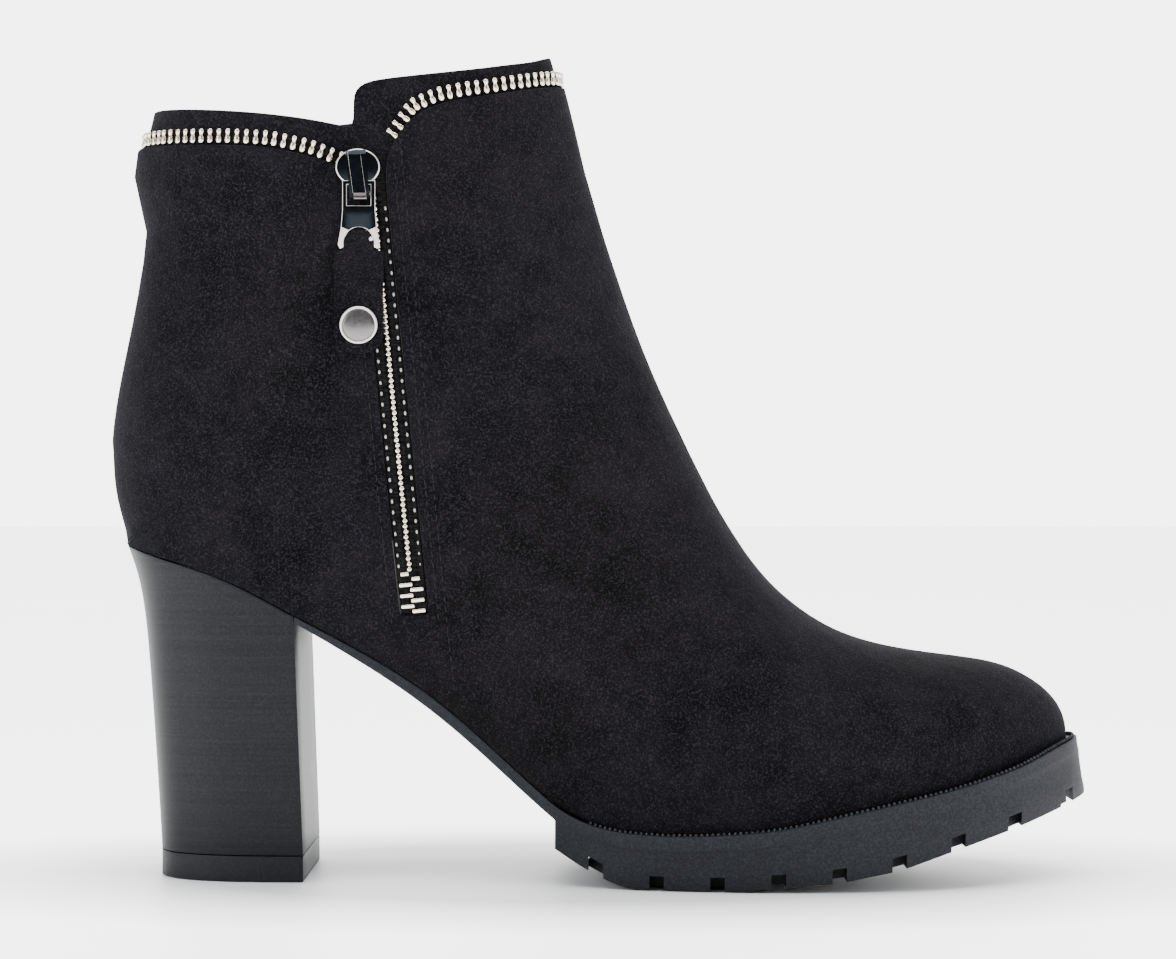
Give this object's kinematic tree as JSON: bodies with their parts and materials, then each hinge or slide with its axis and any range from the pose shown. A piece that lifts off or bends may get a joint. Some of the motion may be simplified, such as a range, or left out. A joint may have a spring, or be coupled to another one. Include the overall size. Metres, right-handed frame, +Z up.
{
  "type": "zip ankle boot",
  "caption": "Left ankle boot with a stacked block heel, a lugged forefoot sole, an inner side zip with a swinging pull, and open teeth round the collar.",
  "frame": {"origin": "on the floor under the middle of the boot's box, the boot standing on its heel and its forefoot", "axes": "+X towards the toe, +Y towards the outer side of the foot, +Z up; the zip is on the -Y side"},
  "size_m": [0.247, 0.0928, 0.2058],
  "materials": {
    "suede": "black faux suede with a short dull nap",
    "sole_rubber": "matt slate-black moulded rubber",
    "lining": "black synthetic lining",
    "heel_stack": "slate-black block with fine level lines, satin",
    "tip_rubber": "black top piece",
    "tape": "black woven zip tape",
    "teeth_metal": "polished pale gold",
    "slider_metal": "polished gunmetal",
    "rivet_metal": "satin nickel dome"
  },
  "bodies": {
    "boot": {"upper": "suede", "outsole": "sole_rubber", "insole": "lining", "heel": "heel_stack", "heel_tip": "tip_rubber", "zip_tape": "tape", "zip_chain": "teeth_metal", "collar_teeth_front": "teeth_metal", "collar_teeth_back": "teeth_metal", "zip_slider": "slider_metal"},
    "pull": {"zip_pull": "slider_metal", "pull_tab": "suede", "pull_rivet": "rivet_metal"}
  },
  "joints": [
    {"name": "pull_swing", "type": "hinge", "parent": "boot", "child": "pull", "pos_m": [-0.0564, -0.03238, 0.17123], "axis": [-1, 0, 0], "range_deg": [0, 140]}
  ]
}
